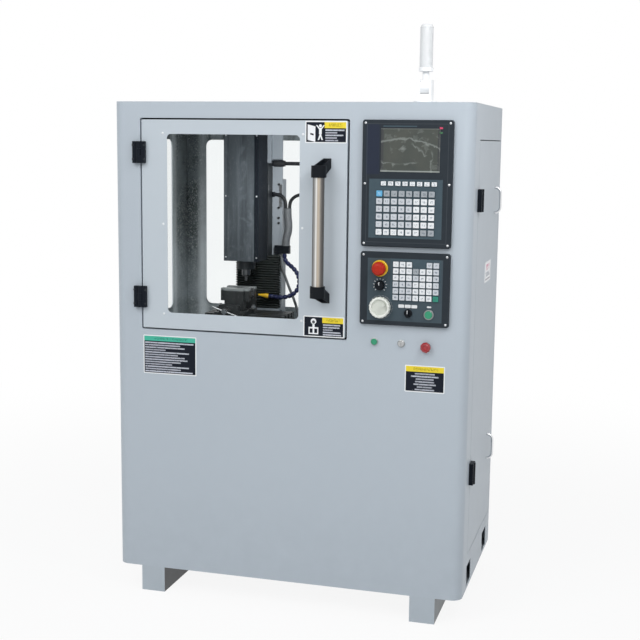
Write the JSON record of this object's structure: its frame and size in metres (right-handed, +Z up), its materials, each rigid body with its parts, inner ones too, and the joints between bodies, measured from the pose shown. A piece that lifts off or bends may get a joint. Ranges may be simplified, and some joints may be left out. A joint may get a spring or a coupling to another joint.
{
  "type": "desktop vertical machining center",
  "caption": "Enclosed vertical milling machine: tall sheet-metal cabinet on two rails, hinged window door, control panels, mill with vise inside, side door and folding lamp.",
  "frame": {"origin": "middle of the footprint, on the floor under the two feet", "axes": "+Z up, front with the door and controls facing -Y, +X to the right seen from the front"},
  "size_m": [1.117, 0.647, 1.746],
  "materials": {
    "cabinet_paint": "smooth light blue-grey coat",
    "stainless": "mottled stainless sheet",
    "clear_pane": "clear, lightly sprayed",
    "black_rubber": "matte",
    "black_hinge": "black coat",
    "satin_tube": "satin",
    "black_plastic": "fine grain",
    "chrome": "polished",
    "screen_glass": "unlit display behind a film",
    "key_mat": "moulded mat with light keys",
    "yellow_plastic": "smooth",
    "red_plastic": "smooth",
    "green_plastic": "smooth",
    "cream_plastic": "smooth",
    "grey_casting": "light grey paint",
    "dark_casting": "dark grey paint",
    "dark_sheet": "dark grey, streaked by coolant",
    "dark_steel": "oiled dark steel",
    "bright_steel": "ground",
    "bellows_rubber": "pleated matte sheet",
    "blue_hose": "ball-jointed hose",
    "grey_hose": "soft sleeve",
    "black_cable": "matte",
    "dark_frame": "grey coat",
    "zinc_plate": "zinc coat",
    "drive_case": "coated cases",
    "white_plastic": "smooth"
  },
  "bodies": {
    "cabinet": {"foot_rails": "cabinet_paint", "base_pan": "cabinet_paint", "front_panel": "cabinet_paint", "left_panel": "cabinet_paint", "right_frame": "cabinet_paint", "rear_panel": "cabinet_paint", "top_cover": "cabinet_paint", "partition": "cabinet_paint", "chamber_liner": "stainless", "window_panes": "clear_pane", "chip_tray": "stainless", "door_seal": "black_rubber", "hinge_plates": "black_hinge", "display_bezel": "black_plastic", "display_screen": "screen_glass", "display_keys": "key_mat", "control_bezel": "black_plastic", "control_keys": "key_mat", "stop_collar": "yellow_plastic", "button_rings": "chrome", "mill_base": "grey_casting", "column": "grey_casting", "z_bellows": "bellows_rubber", "coolant_hose": "blue_hose", "coolant_nozzle": "yellow_plastic", "drain_hose": "grey_hose", "cable_upper": "black_cable", "cables_lower": "black_cable", "cable_bundle": "grey_hose", "cable_glands": "black_plastic", "mill_stand": "dark_frame", "coolant_tank": "stainless", "drive_plate": "zinc_plate", "drive_units": "drive_case", "tower_base": "white_plastic"},
    "front_door": {"door_panel": "cabinet_paint", "door_window": "clear_pane", "door_handle": "satin_tube", "door_handle_ends": "black_plastic", "front_hinge_leaves": "black_hinge"},
    "side_door": {"side_door": "cabinet_paint", "side_door_pulls": "chrome", "side_hinge_leaves": "black_hinge"},
    "head": {"head_casting": "dark_casting", "head_cover": "dark_sheet"},
    "spindle": {"spindle": "bright_steel"},
    "saddle": {"saddle": "dark_steel"},
    "table": {"table": "dark_steel", "vise_body": "dark_steel"},
    "vise_jaw": {"vise_jaw": "dark_steel"},
    "vise_screw": {"vise_screw": "bright_steel"},
    "stop_button": {"stop_button": "red_plastic"},
    "override_knob": {"override_knob": "black_plastic"},
    "handwheel": {"handwheel": "cream_plastic"},
    "selector_knob": {"selector_knob": "black_plastic"},
    "start_button": {"start_button": "green_plastic"},
    "power_button": {"power_button": "green_plastic"},
    "key_switch": {"key_switch": "chrome"},
    "red_button": {"red_button": "red_plastic"},
    "tower_lamp": {"tower_lamp": "white_plastic"}
  },
  "joints": [
    {"name": "front_door_hinge", "type": "hinge", "parent": "cabinet", "child": "front_door", "pos_m": [-0.4725, -0.2648, 1.156], "axis": [0, 0, -1], "range_deg": [0, 110]},
    {"name": "side_door_hinge", "type": "hinge", "parent": "cabinet", "child": "side_door", "pos_m": [0.5428, -0.1485, 0.8], "axis": [0, 0, -1], "range_deg": [0, 110]},
    {"name": "head_slide", "type": "slide", "parent": "cabinet", "child": "head", "axis": [0, 0, 1], "range_m": [-0.05, 0.06], "deforming": ["z_bellows"]},
    {"name": "spindle_spin", "type": "hinge", "parent": "head", "child": "spindle", "pos_m": [-0.2215, -0.0065, 1.1], "axis": [0, 0, 1], "continuous": true},
    {"name": "saddle_slide", "type": "slide", "parent": "cabinet", "child": "saddle", "axis": [0, 1, 0], "range_m": [-0.045, 0.04]},
    {"name": "table_slide", "type": "slide", "parent": "saddle", "child": "table", "axis": [1, 0, 0], "range_m": [-0.06, 0.06]},
    {"name": "vise_screw_turn", "type": "hinge", "parent": "table", "child": "vise_screw", "pos_m": [-0.2455, -0.1065, 0.886], "axis": [0, 1, 0], "range_deg": [-2165, 3065]},
    {"name": "vise_jaw_slide", "type": "slide", "parent": "table", "child": "vise_jaw", "axis": [0, 1, 0], "range_m": [-0.024, 0.034]},
    {"name": "stop_press", "type": "slide", "parent": "cabinet", "child": "stop_button", "axis": [0, 1, 0], "range_m": [0, 0.005]},
    {"name": "override_turn", "type": "hinge", "parent": "cabinet", "child": "override_knob", "pos_m": [0.2765, -0.2565, 1.006], "axis": [0, 1, 0], "range_deg": [-135, 135]},
    {"name": "handwheel_turn", "type": "hinge", "parent": "cabinet", "child": "handwheel", "pos_m": [0.2795, -0.2565, 0.943], "axis": [0, 1, 0], "continuous": true},
    {"name": "selector_turn", "type": "hinge", "parent": "cabinet", "child": "selector_knob", "pos_m": [0.3605, -0.2565, 0.9285], "axis": [0, 1, 0], "range_deg": [-45, 45]},
    {"name": "start_press", "type": "slide", "parent": "cabinet", "child": "start_button", "axis": [0, 1, 0], "range_m": [0, 0.003], "stiffness_N_per_m": 600},
    {"name": "power_press", "type": "slide", "parent": "cabinet", "child": "power_button", "axis": [0, 1, 0], "range_m": [0, 0.003], "stiffness_N_per_m": 600},
    {"name": "key_turn", "type": "hinge", "parent": "cabinet", "child": "key_switch", "pos_m": [0.34, -0.2565, 0.838], "axis": [0, 1, 0], "range_deg": [0, 90]},
    {"name": "red_press", "type": "slide", "parent": "cabinet", "child": "red_button", "axis": [0, 1, 0], "range_m": [0, 0.003], "stiffness_N_per_m": 600},
    {"name": "tower_fold", "type": "hinge", "parent": "cabinet", "child": "tower_lamp", "pos_m": [0.3715, -0.1445, 1.57], "axis": [-1, 0, 0], "range_deg": [0, 90]}
  ],
  "couplings": [
    {"joint": "vise_screw_turn", "follows": "vise_jaw_slide", "rad_per_m": 1570.8}
  ]
}
